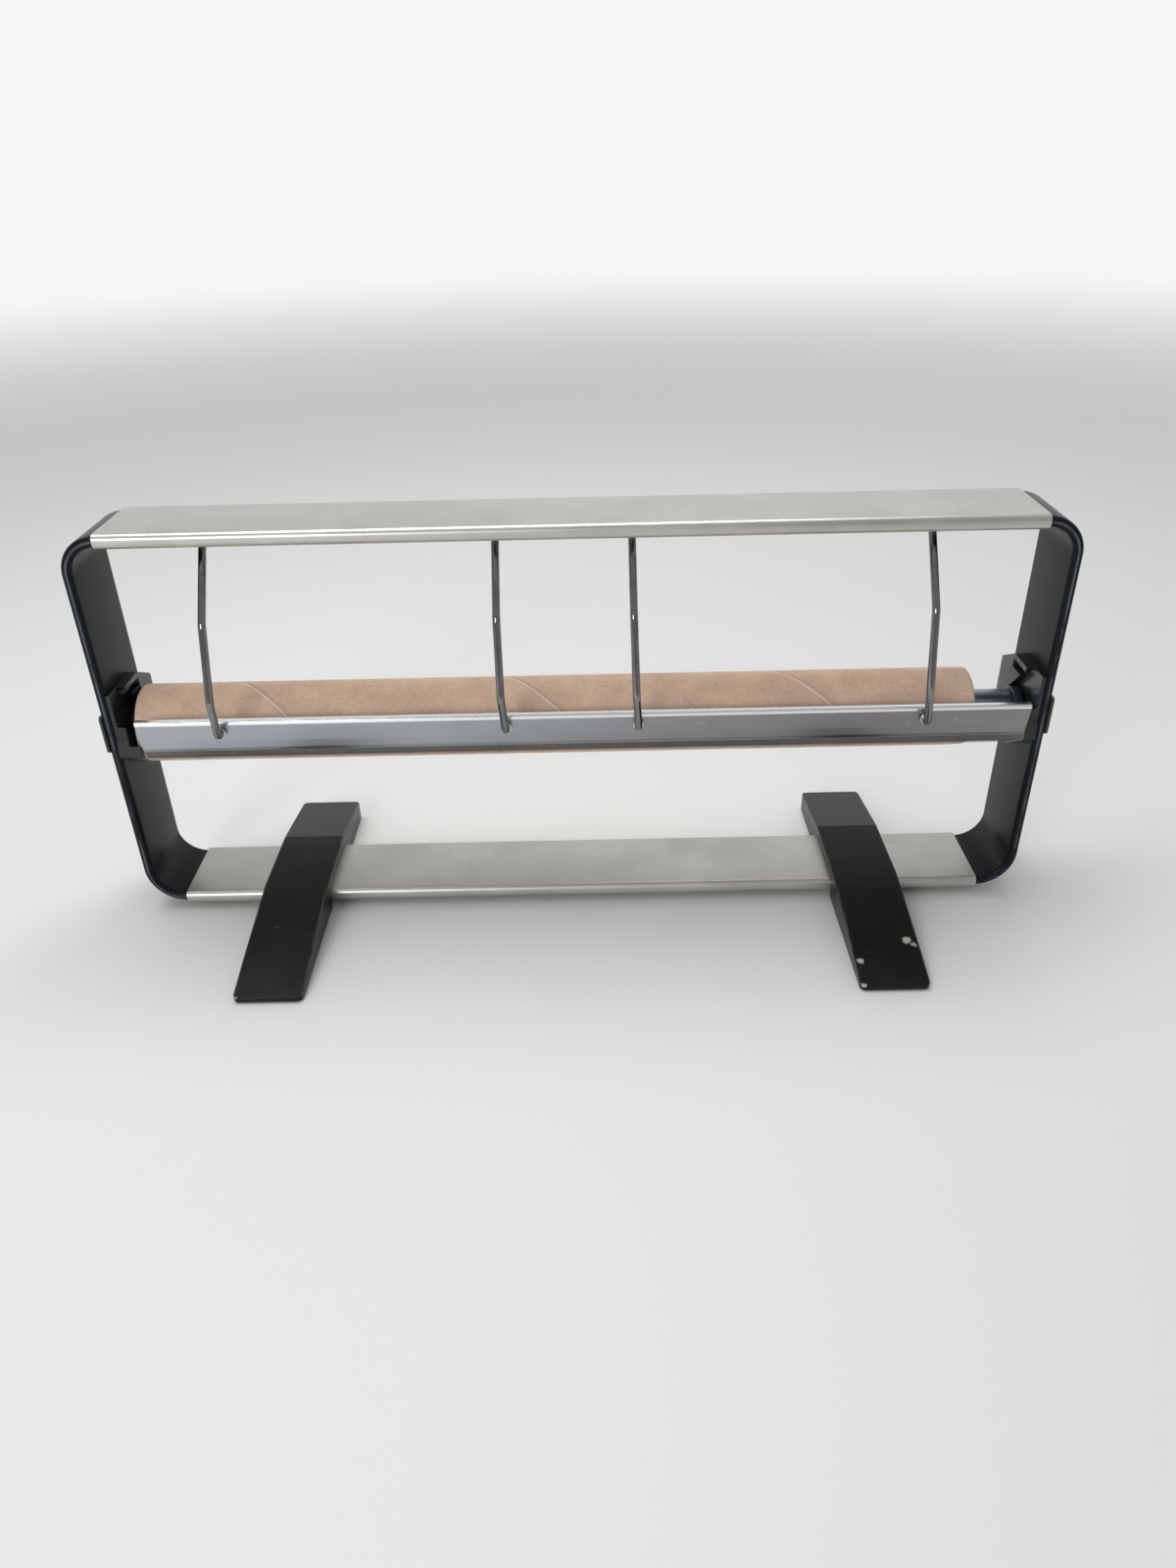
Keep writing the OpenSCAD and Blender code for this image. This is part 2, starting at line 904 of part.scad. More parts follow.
module left_core_plug() {
  color([0.25, 0.25, 0.27])
    core_plug(core_x - core_l / 2 + plug_in);
}

module right_core_plug() {
  color([0.25, 0.25, 0.27])
    core_plug(core_x + core_l / 2 - plug_in - plug_l);
}

module core() {
  color([0.72, 0.58, 0.45])
    difference() {
      x_rod(core_x - core_l / 2, core_l, roll_y, roll_z, core_r);
      x_rod(core_x - core_l / 2 - 1, core_l + 2, roll_y, roll_z, core_in);
    }
}

left_bracket();
right_bracket();
top_rail();
bottom_rail();
left_foot();
right_foot();
left_foot_clamp();
right_foot_clamp();
left_foot_screws();
right_foot_screws();
left_foot_pads();
right_foot_pads();
top_set_screws();
bottom_set_screws();
left_outer_block();
left_anchor();
left_inner_block();
right_inner_block();
right_anchor();
right_outer_block();
left_block_screws();
right_block_screws();
left_holder();
right_holder();
left_backing_plate();
right_backing_plate();
left_holder_screws();
right_holder_screws();
left_wire();
right_wire();
left_knobs();
right_knobs();
left_wire_clips();
right_wire_clips();
knife_bar();
serrated_blade();
left_hub();
right_hub();
shaft_tube();
left_core_plug();
right_core_plug();
core();
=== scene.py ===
import bpy, bmesh, json, math
import numpy as np
from mathutils import Matrix


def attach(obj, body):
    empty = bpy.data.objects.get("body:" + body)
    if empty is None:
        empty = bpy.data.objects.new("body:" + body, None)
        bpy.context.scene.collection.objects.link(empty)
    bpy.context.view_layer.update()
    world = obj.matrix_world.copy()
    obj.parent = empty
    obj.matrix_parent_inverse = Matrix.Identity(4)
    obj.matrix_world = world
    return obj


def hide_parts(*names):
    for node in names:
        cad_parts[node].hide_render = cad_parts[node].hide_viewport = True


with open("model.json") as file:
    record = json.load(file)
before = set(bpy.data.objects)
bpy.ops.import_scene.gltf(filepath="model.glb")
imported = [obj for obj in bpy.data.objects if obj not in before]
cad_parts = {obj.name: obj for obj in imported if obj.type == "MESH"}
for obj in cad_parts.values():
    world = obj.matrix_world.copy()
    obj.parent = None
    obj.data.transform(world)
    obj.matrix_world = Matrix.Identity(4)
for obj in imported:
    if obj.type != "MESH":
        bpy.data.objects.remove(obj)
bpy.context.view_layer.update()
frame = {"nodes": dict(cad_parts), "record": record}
mm = 0.001
sawnAngle = 60          # edges sharper than this, in degrees, are rounded at a bar's sawn ends
flatAngle = 1.0         # neighbouring triangles within this angle are one flat face
joinDistance = 2e-6     # corners of a constructed part nearer than this are the same

cameraView = {"place": (0.0091, -0.5764, 0.4284), "turn": 0.00504, "lookDown": 0.53873,
              "lean": 0.02299, "lens": 24.94}


# rows of the matrix are the view's right, down and forward directions:
# lean about the line of sight, times the look down, times the turn about the vertical
def makeCamera(view):
    a, b, c = view["turn"], view["lookDown"], view["lean"]
    turn = np.array([[math.cos(a), math.sin(a), 0], [-math.sin(a), math.cos(a), 0], [0, 0, 1]])
    level = np.array([[1, 0, 0], [0, 0, -1], [0, 1, 0]])
    down = np.array([[1, 0, 0], [0, math.cos(b), -math.sin(b)], [0, math.sin(b), math.cos(b)]])
    lean = np.array([[math.cos(c), math.sin(c), 0], [-math.sin(c), math.cos(c), 0], [0, 0, 1]])
    right, below, ahead = lean @ down @ level @ turn
    data = bpy.data.cameras.new("photoCamera")
    data.sensor_width, data.lens = 36, view["lens"]
    data.clip_start, data.clip_end = 0.01, 60
    cam = bpy.data.objects.new("photoCamera", data)
    bpy.context.scene.collection.objects.link(cam)
    basis = Matrix([[right[i], -below[i], -ahead[i]] for i in range(3)])
    cam.matrix_world = Matrix.Translation(view["place"]) @ basis.to_4x4()
    bpy.context.scene.camera = cam


makeCamera(cameraView)
print("camera is set")


# closed or open line with rounded corners: each corner becomes an arc of its radius r, whose centre
# is r / sin(half) along the corner's bisector and whose ends are r / tan(half) along its two sides
def roundedLine(corners, radii, steps=8, closed=True):
    p = np.array(corners, float)
    before, after = np.roll(p, 1, 0), np.roll(p, -1, 0)
    u = before - p
    w = after - p
    u /= np.linalg.norm(u, axis=1)[:, None]
    w /= np.linalg.norm(w, axis=1)[:, None]
    half = np.arccos(np.clip((u * w).sum(1), -1, 1)) / 2
    r = np.array(radii, float)[:, None]
    bisector = (u + w) / np.linalg.norm(u + w, axis=1)[:, None]
    centre = p + bisector * r / np.sin(half)[:, None]
    start = p + u * r / np.tan(half)[:, None]
    end = p + w * r / np.tan(half)[:, None]
    a = (start - centre) / r
    b = (end - centre) / r
    b -= a * (a * b).sum(1)[:, None]
    b /= np.maximum(np.linalg.norm(b, axis=1), 1e-9)[:, None]
    t = np.linspace(0, 1, steps)[None, :, None] * (math.pi - 2 * half)[:, None, None]
    arcs = centre[:, None] + r[:, None] * (np.cos(t) * a[:, None] + np.sin(t) * b[:, None])
    if closed:
        return arcs.reshape(-1, p.shape[1])
    return np.concatenate([p[:1], arcs[1:-1].reshape(-1, p.shape[1]), p[-1:]])


# grid[i, j] is a point of the surface; neighbours in i and j share a face and each line of j closes on
# itself. Without closedI one face caps each end, with it the last line of i joins the first
def surface(name, grid, closedI=False, weld=False, sharp=35):
    n, m = grid.shape[:2]
    index = np.arange(n * m).reshape(n, m)
    rows = index if not closedI else np.vstack([index, index[:1]])
    cols = np.hstack([rows, rows[:, :1]])
    quads = np.stack([cols[:-1, :-1], cols[:-1, 1:], cols[1:, 1:], cols[1:, :-1]], -1).reshape(-1, 4)
    loops, sizes = quads.ravel(), np.full(len(quads), 4)
    if not closedI:
        loops = np.concatenate([loops, index[0][::-1], index[-1]])
        sizes = np.concatenate([sizes, [m, m]])
    points = grid.reshape(-1, 3)
    halves = np.concatenate([points[quads[:, [0, 1, 2]]], points[quads[:, [0, 2, 3]]]]) - points.mean(0)
    volume = np.einsum("ij,ij->i", halves[:, 0], np.cross(halves[:, 1], halves[:, 2])).sum()
    starts = np.concatenate([[0], np.cumsum(sizes)[:-1]])
    if volume < 0:                                      # the faces point inward, so each runs backwards
        owner = np.repeat(np.arange(len(sizes)), sizes)
        within = np.arange(len(loops)) - starts[owner]
        loops = loops[starts[owner] + sizes[owner] - 1 - within]
    mesh = bpy.data.meshes.new(name)
    mesh.vertices.add(len(points))
    mesh.vertices.foreach_set("co", points.astype(np.float32).ravel())
    mesh.loops.add(len(loops))
    mesh.loops.foreach_set("vertex_index", loops.astype(np.int32))
    mesh.polygons.add(len(sizes))
    mesh.polygons.foreach_set("loop_start", starts.astype(np.int32))
    mesh.update(calc_edges=True)
    if weld:
        b = bmesh.new()
        b.from_mesh(mesh)
        bmesh.ops.remove_doubles(b, verts=b.verts, dist=1e-6)
        bmesh.ops.recalc_face_normals(b, faces=b.faces)
        b.to_mesh(mesh)
        b.free()
    return finishMesh(name, mesh, sharp)


def finishMesh(name, mesh, sharp):
    mesh.polygons.foreach_set("use_smooth", np.ones(len(mesh.polygons), bool))
    mesh.set_sharp_from_angle(angle=math.radians(sharp))
    mesh.validate()
    piece = bpy.data.objects.new(name, mesh)
    bpy.context.scene.collection.objects.link(piece)
    return piece


# profile carried along a path in one plane: point = path(i) + across * width + up * height, where
# across is the plane's normal and up is square to the path and to across
def sweep(name, profile, path, across, **more):
    path, across = np.array(path, float), np.array(across, float)
    along = np.gradient(path, axis=0)
    along /= np.linalg.norm(along, axis=1)[:, None]
    up = np.cross(along, across)
    grid = path[:, None] + profile[None, :, :1] * across + profile[None, :, 1:] * up[:, None]
    return surface(name, grid, **more)


# round wire along a path: point = path(i) + r * (cos(t) * side + sin(t) * other), where side is
# square to the path and to a reference direction that the path never takes
def tube(name, path, r, reference, sides):
    along = np.gradient(path, axis=0)
    along /= np.linalg.norm(along, axis=1)[:, None]
    side = np.cross(along, reference)
    side /= np.linalg.norm(side, axis=1)[:, None]
    other = np.cross(along, side)
    t = np.arange(sides) * 2 * math.pi / sides
    ring = np.cos(t)[None, :, None] * side[:, None] + np.sin(t)[None, :, None] * other[:, None]
    return surface(name, path[:, None] + r * ring)


# outline turned about the roll's axis: x = outline x, y = axis y + r * cos(t), z = axis z + r * sin(t)
def turned(name, outline, axis, sides, wobble=None, **more):
    t = np.arange(sides) * 2 * math.pi / sides
    x = np.repeat(outline[:, :1], sides, 1)
    r = np.repeat(outline[:, 1:], sides, 1)
    if wobble is not None:
        r = r + wobble(x, t[None, :])
    grid = np.stack([x, axis[0] + r * np.cos(t), axis[1] + r * np.sin(t)], -1)
    return surface(name, grid, closedI=True, **more)


# one section carried straight along X from x0 to x1, all in mm; the section's two numbers are Y and Z
def straightBar(name, section, x0, x1, endRound, **more):
    x, section = np.array([x0, x1]) * mm, section * mm
    grid = np.stack([np.repeat(x[:, None], len(section), 1), np.repeat(section[None, :, 0], 2, 0),
                     np.repeat(section[None, :, 1], 2, 0)], -1)
    bar = surface(name, grid, **more)
    roundEdges(bar, "sawnEnds", endRound * mm, 2, sawnAngle)
    return bar


def roundEdges(piece, name, width, segments, angle):
    bevel = piece.modifiers.new(name, "BEVEL")
    bevel.width, bevel.segments = width, segments
    bevel.limit_method, bevel.angle_limit = "ANGLE", math.radians(angle)
    bevel.harden_normals = True


# copy of a constructed part with its loose triangles joined and its edges rounded
def softened(name, node, width, segments=2, sharp=35):
    mesh = frame["nodes"][node].data.copy()
    b = bmesh.new()
    b.from_mesh(mesh)
    bmesh.ops.remove_doubles(b, verts=b.verts, dist=joinDistance)
    bmesh.ops.dissolve_limit(b, angle_limit=math.radians(flatAngle), verts=b.verts, edges=b.edges)
    b.to_mesh(mesh)
    b.free()
    mesh.materials.clear()
    piece = finishMesh(name, mesh, sharp)
    roundEdges(piece, "softEdges", width, segments, sharp)
    return piece


def place(piece, body, slot, node):
    piece.data.materials.append(finishes[slot])
    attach(piece, body)
    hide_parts(node)


# a number or colour that changes over the surface; + - * and / add Math nodes
class Field:
    def __init__(self, tree, socket=None):
        self.tree, self.socket = tree, socket

    # any node: its kind, its settings, then the values or links of its sockets
    def node(self, kind, settings=None, sockets=None, out=0):
        made = self.tree.nodes.new(kind)
        for key, value in (settings or {}).items():
            setattr(made, key, value)
        for key, value in (sockets or {}).items():
            if isinstance(value, Field):
                self.tree.links.new(value.socket, made.inputs[key])
            else:
                made.inputs[key].default_value = value
        return Field(self.tree, made.outputs[out])

    def math(self, operation, *values):
        return self.node("ShaderNodeMath", {"operation": operation}, dict(enumerate(values)))

    def __add__(self, other): return self.math("ADD", self, other)
    def __radd__(self, other): return self.math("ADD", other, self)
    def __sub__(self, other): return self.math("SUBTRACT", self, other)
    def __rsub__(self, other): return self.math("SUBTRACT", other, self)
    def __mul__(self, other): return self.math("MULTIPLY", self, other)
    def __rmul__(self, other): return self.math("MULTIPLY", other, self)
    def __truediv__(self, other): return self.math("DIVIDE", self, other)

    def fract(self): return self.math("FRACT", self)
    def size(self): return self.math("ABSOLUTE", self)
    def over(self, other): return self.math("MAXIMUM", self, other)

    # 0 below low, 1 above high
    def step(self, low, high):
        return self.node("ShaderNodeMapRange", {"interpolation_type": "SMOOTHSTEP"},
                         {0: self, 1: low, 2: high, 3: 0.0, 4: 1.0})

    # cloudy pattern of a size in metres, stretched by the three scales
    def noise(self, size, detail=3.0, rough=0.55, stretch=(1, 1, 1), shift=(0, 0, 0)):
        where = self.node("ShaderNodeMapping", {}, {0: self, "Scale": stretch, "Location": shift})
        return self.node("ShaderNodeTexNoise", {}, {"Vector": where, "Scale": 1 / size, "Detail": detail,
                                                    "Roughness": rough})

    # colour a where this field is 0, b where it is 1
    def tint(self, a, b):
        a = a if isinstance(a, Field) else tuple(a) + (1,)
        b = b if isinstance(b, Field) else tuple(b) + (1,)
        return self.node("ShaderNodeMix", {"data_type": "RGBA"}, {0: self, 6: a, 7: b}, out=2)

    # coordinate 0, 1 or 2
    def part(self, i):
        return self.node("ShaderNodeSeparateXYZ", {}, {0: self}, out=i)

    # last node of the tree
    def closing(self, kind, shader):
        self.tree.links.new(shader.socket, self.tree.nodes.new(kind).inputs[0])

    # distance from a point
    def reach(self, point):
        return self.node("ShaderNodeVectorMath", {"operation": "DISTANCE"}, {0: self, 1: point}, out=1)


# object coordinates of a new material, to build its fields on
def newFinish(name):
    material = bpy.data.materials.new(name)
    material.use_nodes = True
    material.node_tree.nodes.clear()
    return material, Field(material.node_tree).node("ShaderNodeTexCoord", out=3)


# surface shader with a relief whose height field stands for the given depth in metres
def closeFinish(spot, height, depth, **sockets):
    names = {"color": "Base Color", "rough": "Roughness", "metal": "Metallic", "ior": "IOR",
             "specular": "Specular IOR Level"}
    values = {names[key]: value for key, value in sockets.items()}
    values["Normal"] = spot.node("ShaderNodeBump", {}, {"Height": height, "Distance": depth, "Strength": 1.0})
    spot.closing("ShaderNodeOutputMaterial", spot.node("ShaderNodeBsdfPrincipled", {}, values))


# satin anodised aluminium: fine drawing lines along X, faint grease and a few short scratches
def anodisedFinish(name, light, dark, marks=()):
    material, spot = newFinish(name)
    drawn = spot.noise(0.0004, 2.0, 0.6, (0.02, 1, 1))
    cloud = spot.noise(0.045, 4.0, 0.6)
    fine = spot.noise(0.0012, 2.0, 0.5, (0.5, 1, 1))
    scratch = spot.noise(0.0035, 1.0, 0.4, (0.16, 1.9, 1), (0.3, 0.7, 0.1)).step(0.755, 0.78)
    color = (cloud * 0.7 + drawn * 0.3).step(0.3, 0.72).tint(dark, light)
    color = (scratch * 0.35).tint(color, (0.86, 0.86, 0.85))
    for point, size in marks:
        dent = 1 - spot.reach(point).step(size * 0.5, size)
        color = (dent * 0.8).tint(color, (0.12, 0.11, 0.10))
    closeFinish(spot, drawn * 0.6 + fine * 0.4 - scratch * 0.6, 0.000007, color=color, metal=1.0,
                rough=0.40 + (cloud - 0.5) * 0.14 + (drawn - 0.5) * 0.10 + scratch * 0.1)
    return material


# satin black paint: soft orange peel, dust and rub marks, and optionally a painted highlight line along
# edges; chips bare the pale primer
def blackPaint(name, tone, chips=(), roughness=0.38, specular=0.3, edgeHighlight=None):
    material, spot = newFinish(name)
    peel = spot.noise(0.0016, 2.0, 0.5)
    cloud = spot.noise(0.035, 4.0, 0.6)
    dust = spot.noise(0.0009, 1.0, 0.5, (1, 1, 1), (0.4, 0.2, 0.9)).step(0.77, 0.80)
    rub = spot.noise(0.006, 3.0, 0.7, (0.25, 1, 1), (0.1, 0.5, 0.3)).step(0.70, 0.78)
    color = cloud.step(0.3, 0.75).tint(tone, tuple(1.9 * t for t in tone))
    color = (dust * 0.5 + rub * 0.25).tint(color, (0.16, 0.16, 0.165))
    bare = None
    wander = spot.noise(0.0013, 3.0, 0.75) * 0.0056 - 0.0028
    for point, size in chips:
        chip = 1 - (spot.reach(point) + wander).step(size * 0.86, size)
        bare = chip if bare is None else bare.over(chip)
    height = peel * 0.5 + cloud * 0.2
    rough = roughness + (cloud - 0.5) * 0.16 + dust * 0.2
    # painted highlight: a thin pale line along the edges that the edge function picks out, broken up by noise
    # and made a little glossier
    if edgeHighlight is not None:
        wearAndHighlight = edgeHighlight(spot) * spot.noise(0.011, 4.0, 0.7, (0.3, 0.3, 0.3)).step(0.34, 0.6)
        color = (wearAndHighlight * 0.85).tint(color, (0.105, 0.115, 0.135))
        rough = rough - wearAndHighlight * 0.12
    if bare is not None:
        color = bare.tint(color, (0.42, 0.40, 0.35))
        height = height - bare * 2.5
        rough = rough + bare * 0.25
    closeFinish(spot, height, 0.00004, color=color, rough=rough, metal=0.0, ior=1.5, specular=specular)
    return material


# 1 between low and high, falling off over the soft width on both sides
def band(field, low, high, soft):
    return field.step(low - soft, low) * (1 - field.step(high, high + soft))


# where painted highlight lines lie along edges, in metres: the bracket's front face lies at the low end of
# frontY; the feet's long edges lie edgeAway from a foot's middle plane, which is footMiddle from the part's
# middle
edgeHighlightPlaces = {"frontY": (-0.007495, -0.00747), "footMiddle": 0.1816, "edgeAway": (0.01952, 0.01985, 0.0002),
             "aboveZ": (0.002, 0.0035)}


# painted highlight line along the middle of the bracket's front edge
def bracketEdgeHighlight(spot):
    return 1 - spot.part(1).step(*edgeHighlightPlaces["frontY"])


# painted highlight lines along the feet's long top edges
def footEdgeHighlight(spot):
    away = (spot.part(0).size() - edgeHighlightPlaces["footMiddle"]).size()
    return band(away, *edgeHighlightPlaces["edgeAway"]) * spot.part(2).step(*edgeHighlightPlaces["aboveZ"])


# chromed metal with a little clouding and pitting; a low tone paints in dark reflections
def chromeFinish(name, tone, roughness):
    material, spot = newFinish(name)
    cloud = spot.noise(0.012, 4.0, 0.65)
    pit = spot.noise(0.0011, 1.0, 0.5).step(0.74, 0.78)
    color = cloud.step(0.35, 0.75).tint(tone, tuple(0.72 * t for t in tone))
    color = (pit * 0.6).tint(color, (0.16, 0.14, 0.12))
    closeFinish(spot, spot.noise(0.0025, 2.0, 0.5) * 0.4 - pit, 0.00002, color=color, metal=1.0,
                rough=roughness + (cloud - 0.4) * 0.14 + pit * 0.3)
    return material


# brushed bar: lines along X and grease marks; extra may change the colour and roughness further
def brushedFinish(name, light, dark, roughness, lineSize=0.00035, stretch=(0.012, 1, 1), wearAndHighlight=0.3,
                  extra=None):
    material, spot = newFinish(name)
    lines = spot.noise(lineSize, 3.0, 0.65, stretch)
    cloud = spot.noise(0.03, 4.0, 0.6, (0.5, 1, 1))
    mark = spot.noise(0.005, 3.0, 0.6, (1, 1, 1), (0.9, 0.3, 0.2)).step(0.69, 0.74)
    color = (lines * 0.4 + cloud * 0.6).step(0.32, 0.68).tint(dark, light)
    color = (mark * wearAndHighlight).tint(color, (0.30, 0.27, 0.23))
    rough = roughness + (lines - 0.5) * 0.12 + (cloud - 0.5) * 0.12 + mark * 0.12
    if extra is not None:
        color, rough = extra(spot, color, rough)
    closeFinish(spot, lines, 0.000012, color=color, metal=1.0, rough=rough)
    return material


# the knife bar's painted light in metres: heights of its painted highlight on the top bead and of a thin
# painted highlight line at its foot, and from where to where along X the painted shade grows towards the
# right
barPaintedLight = {"topZ": (0.1371, 0.1376), "footZ": (0.1181, 0.1184, 0.0002), "darkerRightX": (-0.24, 0.2)}


# scuffs are wear; the bead and foot lines, the bluish left end and the darker right end are painted light
def knifeScuffsAndPaintedLight(spot, color, rough):
    height = spot.part(2)
    bead = height.step(*barPaintedLight["topZ"])
    foot = band(height, *barPaintedLight["footZ"])
    darkerRight = spot.part(0).step(*barPaintedLight["darkerRightX"])
    scuff = spot.noise(0.004, 4.0, 0.7, (0.5, 1, 0.6), (0.4, 0.6, 0.8)).step(0.66, 0.72)
    # painted shade darkens the face towards the right end and a painted bluish reflection lightens it towards
    # the left end
    color = (darkerRight * 0.6).tint(color, (0.20, 0.19, 0.19))
    color = ((1 - darkerRight) * 0.4).tint(color, (0.50, 0.59, 0.68))
    color = (scuff * 0.35).tint(color, (0.75, 0.75, 0.74))
    # painted highlights: near white on the top bead above topZ and a fainter line at the foot within footZ
    color = (bead.over(foot * 0.5)).tint(color, (0.93, 0.93, 0.92))
    return color, rough - bead * 0.12 + scuff * 0.1


# kraft board wound as a tube: fibres, a spiral seam with a darker side, pale specks and dark grit. The
# seam runs where x / pitch - angle / full turn + phase is a half more than a whole number
def kraftFinish(name, axis, pitch, phase, light, dark):
    material, spot = newFinish(name)
    fibre = spot.noise(0.0011, 3.0, 0.7, (0.5, 1, 1))
    mottle = spot.noise(0.016, 4.0, 0.6)
    blotch = spot.noise(0.055, 3.0, 0.5, (0.6, 1, 1), (0.5, 0.2, 0.1))
    angle = spot.math("ARCTAN2", spot.part(2) - axis[1], spot.part(1) - axis[0])
    around = (spot.part(0) / pitch - angle / (2 * math.pi) + phase).fract()
    seam = 1 - (around - 0.5).size().step(0.0022, 0.0050)
    shade = 1 - (around - 0.512).size().step(0.006, 0.016)
    speck = spot.noise(0.0016, 0.0, 0.5, (0.7, 1, 1), (0.2, 0.8, 0.4)).step(0.78, 0.81)
    grit = spot.noise(0.0014, 0.0, 0.5, (0.6, 1, 1), (0.7, 0.1, 0.9)).step(0.79, 0.82)
    color = (fibre * 0.4 + mottle * 0.35 + blotch * 0.25).step(0.36, 0.64).tint(dark, light)
    color = (shade * 0.38).tint(color, tuple(0.75 * d for d in dark))
    color = (seam * 0.85).tint(color, (0.96, 0.88, 0.76))
    color = (speck * 0.6).tint(color, (0.82, 0.74, 0.64))
    color = (grit * 0.45).tint(color, (0.24, 0.15, 0.10))
    closeFinish(spot, fibre * 0.6 + mottle * 0.3 + seam * 0.8 - shade * 0.4, 0.00008, color=color,
                rough=0.82 + (fibre - 0.5) * 0.2, metal=0.0, ior=1.45)
    return material


# moulded plastic: grain or gloss, fine scuffs
def mouldedFinish(name, tone, roughness, grain=0.0008, scuff=0.3):
    material, spot = newFinish(name)
    texture = spot.noise(grain, 2.0, 0.5)
    cloud = spot.noise(0.015, 3.0, 0.6)
    rub = spot.noise(0.003, 3.0, 0.7, (1, 0.3, 1), (0.3, 0.4, 0.2)).step(0.66, 0.76)
    color = cloud.step(0.3, 0.7).tint(tone, tuple(1.6 * t + 0.004 for t in tone))
    color = (rub * scuff).tint(color, tuple(0.12 + t for t in tone))
    closeFinish(spot, texture, 0.00003, color=color, rough=roughness + (cloud - 0.5) * 0.12 + rub * 0.2,
                metal=0.0, ior=1.5)
    return material


# small steel parts: turned or rolled, slightly stained
def steelFinish(name, tone, roughness):
    material, spot = newFinish(name)
    turnedLines = spot.noise(0.0005, 2.0, 0.6, (0.3, 1, 1))
    stain = spot.noise(0.006, 4.0, 0.6)
    color = stain.step(0.35, 0.75).tint(tone, tuple(0.65 * t for t in tone))
    closeFinish(spot, turnedLines, 0.00002, color=color, metal=1.0,
                rough=roughness + (stain - 0.5) * 0.2 + (turnedLines - 0.5) * 0.1)
    return material


rollAxis = (0.0195, 0.123)      # Y and Z of the roll's middle line, in metres
# small dents in the rails and chips in the paint: where, and how wide, in metres
railMarks = [((-0.2265, -0.0045, 0.25), 0.0007), ((0.2240, -0.0080, 0.2485), 0.0006),
             ((0.2262, -0.0083, 0.2480), 0.0005), ((0.2290, -0.0085, 0.2476), 0.0006),
             ((0.0800, 0.0300, 0.0133), 0.0006), ((-0.1100, 0.0250, 0.2500), 0.0005)]
bracketChips = [((0.2765, -0.004, 0.098), 0.0014)]
footChips = [((0.1952, -0.0672, 0.0105), 0.0027), ((0.1986, -0.0706, 0.0100), 0.0017),
             ((0.1646, -0.0820, 0.0080), 0.0021), ((0.1628, -0.0998, 0.0045), 0.0019),
             ((-0.2005, -0.0998, 0.0042), 0.0012)]
finishes = {
    "rail": anodisedFinish("warmAnodisedRail", (0.61, 0.595, 0.56), (0.51, 0.495, 0.465), railMarks),
    "bracket": blackPaint("blackBracketPaint", (0.0036, 0.0046, 0.0064), bracketChips, 0.34, 0.15,
                          bracketEdgeHighlight),
    "foot": blackPaint("blackFootPaint", (0.0038, 0.0045, 0.0058), footChips, 0.3, 0.24, footEdgeHighlight),
    # the wire's tone is set low to paint dark reflections of the room into the chrome
    "wire": chromeFinish("chromedWire", (0.27, 0.27, 0.28), 0.06),
    "collar": chromeFinish("chromedCollar", (0.68, 0.68, 0.69), 0.2),
    "knife_bar": brushedFinish("brushedKnifeBar", (0.50, 0.50, 0.505), (0.36, 0.36, 0.37), 0.36,
                               extra=knifeScuffsAndPaintedLight),
    "blade": brushedFinish("groundBladeSteel", (0.17, 0.16, 0.155), (0.10, 0.098, 0.095), 0.42,
                           0.0003, (1, 0.03, 0.03), 0.5),
    "core": kraftFinish("kraftCore", rollAxis, 0.1614, 0.976, (0.88, 0.615, 0.45), (0.67, 0.45, 0.325)),
    "holder": mouldedFinish("glossyHolderPlastic", (0.010, 0.010, 0.012), 0.22, 0.0012, 0.25),
    "hub": mouldedFinish("darkHubPlastic", (0.020, 0.023, 0.030), 0.3, 0.0008, 0.5),
    "plug": mouldedFinish("greyPlugPlastic", (0.06, 0.06, 0.07), 0.5),
    "bearing": mouldedFinish("naturalBearingPlastic", (0.62, 0.60, 0.54), 0.45),
    "pad": mouldedFinish("padRubber", (0.025, 0.025, 0.025), 0.8, 0.0005, 0.2),
    "shaft": brushedFinish("galvanisedShaft", (0.40, 0.45, 0.50), (0.27, 0.31, 0.36), 0.34, 0.0004,
                           (1, 0.05, 0.05), 0.4),
    "backing_plate": blackPaint("oliveBackingPlate", (0.035, 0.032, 0.022)),
    "screw": steelFinish("zincScrew", (0.55, 0.55, 0.56), 0.34),
    "black_screw": steelFinish("blackScrew", (0.09, 0.09, 0.095), 0.4),
    "clamp": steelFinish("zincClamp", (0.50, 0.50, 0.51), 0.4),
    "clip": steelFinish("springClip", (0.36, 0.36, 0.37), 0.35),
}
for entry in frame["record"]["subparts"]:
    node = frame["nodes"][entry["node"]]
    node.data.materials.clear()
    node.data.materials.append(finishes[entry["material_slot"]])
print("finishes are made:", len(finishes))

railShape = {"halfDepth": 27.7, "wall": 1.5, "bar": 6.0, "hookThick": 1.1, "hookWide": 4.0,
             "lip": 3.6, "hookRound": 0.3, "cavityRound": 1.2, "depth": 18.5, "endRound": 0.25}


